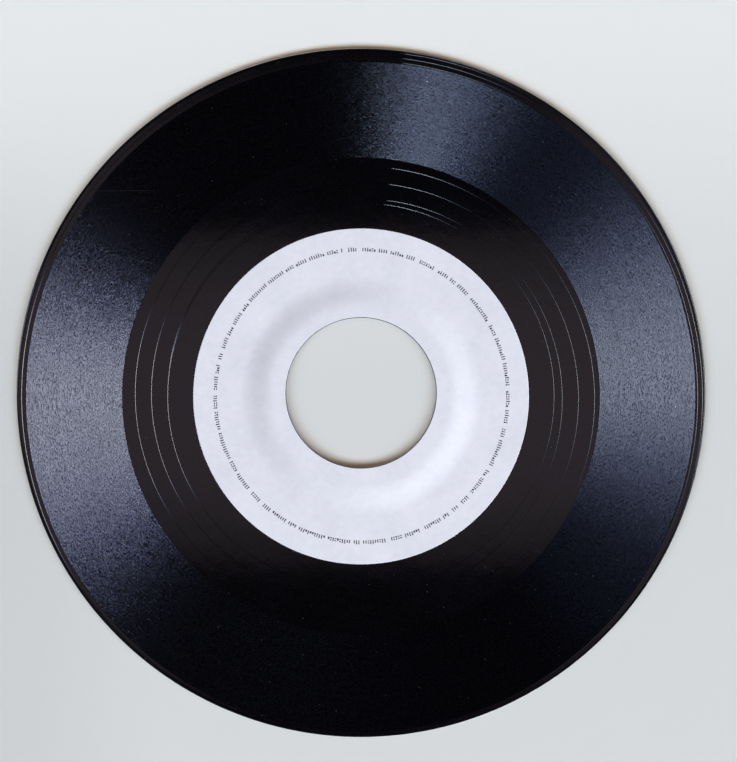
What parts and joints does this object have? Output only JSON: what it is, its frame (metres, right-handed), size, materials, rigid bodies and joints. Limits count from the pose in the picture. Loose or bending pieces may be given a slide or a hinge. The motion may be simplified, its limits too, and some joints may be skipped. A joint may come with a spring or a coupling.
{
  "type": "extended play record",
  "caption": "Thin round black record with a raised hub, a large plain centre hole, a grooved band with lead-in and run-out spirals, and flush paper labels; it carries recorded sound.",
  "frame": {"origin": "on the axis of the centre hole, at the plane that the underside of the hub rests on, side B", "axes": "+Z along the axis of the centre hole, out of side A; X and Y lie in the disc, and the pressed centre of the grooves is off the hole axis towards -Y"},
  "size_m": [0.1748, 0.1748, 0.0021],
  "materials": {
    "vinyl": "gloss black pressed plastic, finely grooved",
    "label_paper": "matt bluish-white paper"
  },
  "bodies": {
    "root": {"disc": "vinyl", "label_side_a": "label_paper", "label_side_b": "label_paper"}
  },
  "joints": []
}
